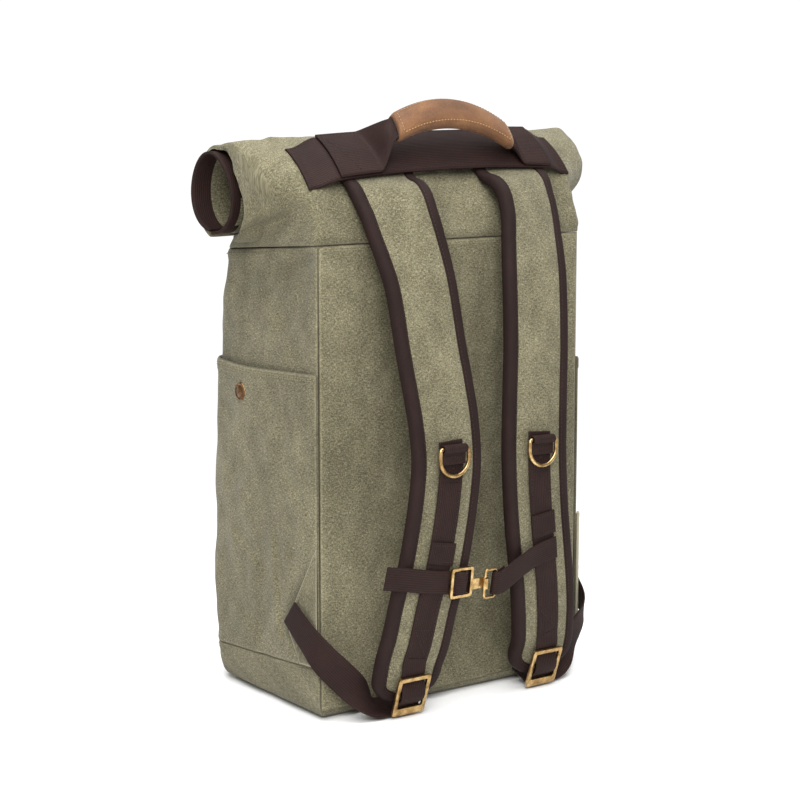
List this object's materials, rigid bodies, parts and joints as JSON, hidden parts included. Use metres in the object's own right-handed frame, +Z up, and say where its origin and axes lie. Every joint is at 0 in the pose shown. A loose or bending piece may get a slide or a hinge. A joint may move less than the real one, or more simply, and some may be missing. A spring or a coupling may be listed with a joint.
{
  "type": "rolltop backpack",
  "caption": "Upright canvas rolltop backpack with padded shoulder straps, a sternum strap, side pockets and a leather-wrapped carrying handle, standing on its base.",
  "frame": {"origin": "centre of the flat underside of the base", "axes": "-Y towards the shoulder straps and the wearer, +X to the right seen from the strap side, +Z up"},
  "size_m": [0.38, 0.2479, 0.5117],
  "materials": {
    "canvas": "matt",
    "webbing": "matt",
    "leather": "matt",
    "brass": "satin"
  },
  "bodies": {
    "bag": {"back_panel": "canvas", "front_panel": "canvas", "side_panel_left": "canvas", "side_panel_right": "canvas", "base_panel": "canvas", "roll_collar": "canvas", "side_pocket_left": "canvas", "side_pocket_right": "canvas", "shoulder_strap_left": "canvas", "shoulder_strap_right": "canvas", "wing_tab_left": "canvas", "wing_tab_right": "canvas", "mouth_binding": "webbing", "strap_binding_left": "webbing", "strap_binding_right": "webbing", "strap_webbing_left": "webbing", "strap_webbing_right": "webbing", "d_ring_loop_left": "webbing", "d_ring_loop_right": "webbing", "sternum_strap_left": "webbing", "sternum_strap_right": "webbing", "sternum_anchor_left": "webbing", "sternum_anchor_right": "webbing", "adjuster_webbing_left": "webbing", "adjuster_webbing_right": "webbing", "back_band": "webbing", "handle_webbing": "webbing", "closure_strap": "webbing", "handle_grip": "leather", "snap_left": "brass", "snap_right": "brass", "ladder_lock_left": "brass", "ladder_lock_right": "brass", "sternum_slide": "brass", "sternum_hook": "brass", "sternum_ring": "brass"},
    "ring_left": {"d_ring_left": "brass"},
    "ring_right": {"d_ring_right": "brass"}
  },
  "joints": [
    {"name": "d_ring_left_swing", "type": "hinge", "parent": "bag", "child": "ring_left", "pos_m": [-0.04761, -0.15094, 0.22636], "axis": [-1, 0, 0], "range_deg": [0, 110]},
    {"name": "d_ring_right_swing", "type": "hinge", "parent": "bag", "child": "ring_right", "pos_m": [0.04761, -0.15094, 0.22636], "axis": [-1, 0, 0], "range_deg": [0, 110]}
  ]
}
